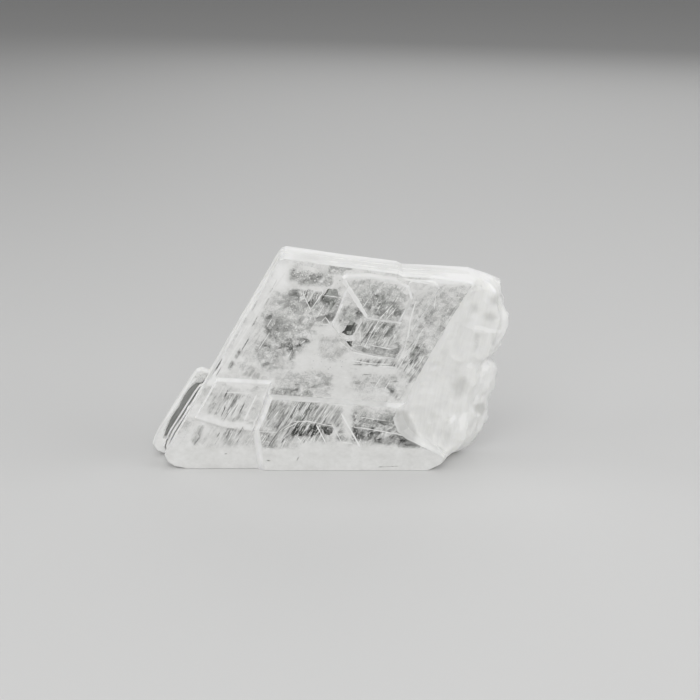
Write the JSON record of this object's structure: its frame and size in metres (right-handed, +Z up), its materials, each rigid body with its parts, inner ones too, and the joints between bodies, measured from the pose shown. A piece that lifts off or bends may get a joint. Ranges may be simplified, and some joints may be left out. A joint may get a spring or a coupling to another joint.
{
  "type": "selenite slab",
  "caption": "Clear to milky slab of cleaved gypsum crystal, rhomb-shaped, with stepped sheet edges, thin terraces and one broken ragged side, standing on its long edge.",
  "frame": {"origin": "centre of the slab's box, on the surface that its long edge stands on", "axes": "+X along the long edge towards the broken side, +Y through the slab from the front cleavage face to the back one, +Z up"},
  "size_m": [0.0786, 0.0124, 0.0472],
  "materials": {
    "gypsum": "clear to milky, glassy on cleavage faces and silky where broken"
  },
  "bodies": {
    "root": {"selenite_slab": "gypsum"}
  },
  "joints": []
}
